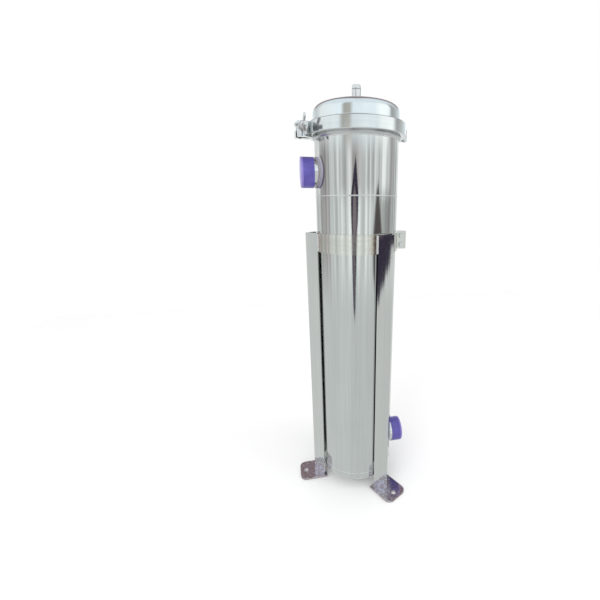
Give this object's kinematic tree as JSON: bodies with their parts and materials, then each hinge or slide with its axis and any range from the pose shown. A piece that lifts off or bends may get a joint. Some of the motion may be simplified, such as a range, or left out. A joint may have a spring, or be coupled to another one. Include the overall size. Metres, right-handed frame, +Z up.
{
  "type": "bag filter housing",
  "caption": "Stainless bag filter housing on legs, with side inlet and outlet stubs, clamped domed lid, basket and bag.",
  "frame": {"origin": "centre of the three anchor holes, on the underside of the feet and on the vessel axis", "axes": "+Z up along the vessel axis, +X towards the outlet, inlet towards -X, front leg towards -Y and +X"},
  "size_m": [0.3368, 0.3514, 1.1427],
  "materials": {
    "polished_shell": "mirror polished",
    "satin_shell": "satin polished",
    "lid_steel": "mirror polished",
    "clamp_steel": "polished",
    "frame_steel": "mill finish with heat tint",
    "foot_steel": "mill finish with heat tint",
    "fastener_steel": "bright",
    "inner_steel": "pickled",
    "cap_plastic": "soft matt",
    "seal_rubber": "matt",
    "bag_felt": "felt",
    "collar_plastic": "moulded"
  },
  "bodies": {
    "housing": {"bottom_head": "satin_shell", "main_shell": "satin_shell", "upper_shell": "polished_shell", "inlet_nipple": "polished_shell", "outlet_nipple": "polished_shell", "body_flange": "polished_shell", "lid_gasket": "seal_rubber", "lid_flange": "lid_steel", "lid_dome": "lid_steel", "vent_socket": "fastener_steel", "seat_ring": "inner_steel", "basket_seal": "seal_rubber", "basket_rim": "inner_steel", "basket": "inner_steel", "filter_bag": "bag_felt", "bag_collar": "collar_plastic", "hold_down": "inner_steel", "support_band": "frame_steel", "band_bolt_upper": "fastener_steel", "band_washer_upper": "fastener_steel", "band_nut_upper": "fastener_steel", "band_bolt_lower": "fastener_steel", "band_washer_lower": "fastener_steel", "band_nut_lower": "fastener_steel", "leg_inlet": "frame_steel", "foot_inlet": "foot_steel", "leg_front": "frame_steel", "foot_front": "foot_steel", "leg_rear": "frame_steel", "foot_rear": "foot_steel"},
    "clamp_rear_half": {"clamp_half_a": "clamp_steel", "hinge_pin": "fastener_steel", "trunnion_pin": "fastener_steel"},
    "clamp_front_half": {"clamp_half_b": "clamp_steel"},
    "swing_bolt": {"swing_bolt": "fastener_steel"},
    "clamp_washer": {"clamp_washer": "fastener_steel"},
    "wing_nut": {"wing_nut": "fastener_steel"},
    "vent_washer": {"vent_washer": "fastener_steel"},
    "vent_plug": {"vent_plug": "fastener_steel"},
    "inlet_cap": {"inlet_cap": "cap_plastic"},
    "outlet_cap": {"outlet_cap": "cap_plastic"}
  },
  "joints": [
    {"name": "nut_travel", "type": "slide", "parent": "swing_bolt", "child": "clamp_washer", "axis": [0.1736, -0.9848, 0], "range_m": [0, 0.016]},
    {"name": "wing_nut_spin", "type": "hinge", "parent": "clamp_washer", "child": "wing_nut", "pos_m": [-0.14031, -0.04505, 1.0365], "axis": [0.1736, -0.9848, 0], "range_deg": [0, 3842]},
    {"name": "swing_bolt_pivot", "type": "hinge", "parent": "clamp_rear_half", "child": "swing_bolt", "pos_m": [-0.14621, -0.01157, 1.0365], "axis": [0, 0, -1], "range_deg": [0, 95]},
    {"name": "rear_half_open", "type": "hinge", "parent": "housing", "child": "clamp_rear_half", "pos_m": [0.13886, 0.02448, 1.0365], "axis": [0, 0, -1], "range_deg": [0, 1.46]},
    {"name": "front_half_open", "type": "hinge", "parent": "housing", "child": "clamp_front_half", "pos_m": [0.13886, 0.02448, 1.0365], "axis": [0, 0, 1], "range_deg": [0, 1.46]},
    {"name": "vent_lift", "type": "slide", "parent": "housing", "child": "vent_washer", "axis": [0, 0, 1], "range_m": [0, 0.014]},
    {"name": "vent_plug_spin", "type": "hinge", "parent": "vent_washer", "child": "vent_plug", "pos_m": [0, 0, 1.1345], "axis": [0, 0, 1], "range_deg": [0, 3771.63]},
    {"name": "inlet_cap_pull", "type": "slide", "parent": "housing", "child": "inlet_cap", "axis": [-1, 0, 0], "range_m": [0, 0.06]},
    {"name": "outlet_cap_pull", "type": "slide", "parent": "housing", "child": "outlet_cap", "axis": [1, 0, 0], "range_m": [0, 0.06]}
  ],
  "couplings": [
    {"joint": "wing_nut_spin", "follows": "nut_travel", "rad_per_m": 4188.8},
    {"joint": "rear_half_open", "follows": "nut_travel", "rad_per_m": 1.5679},
    {"joint": "front_half_open", "follows": "nut_travel", "rad_per_m": 1.5679},
    {"joint": "vent_plug_spin", "follows": "vent_lift", "rad_per_m": 4699.5}
  ]
}
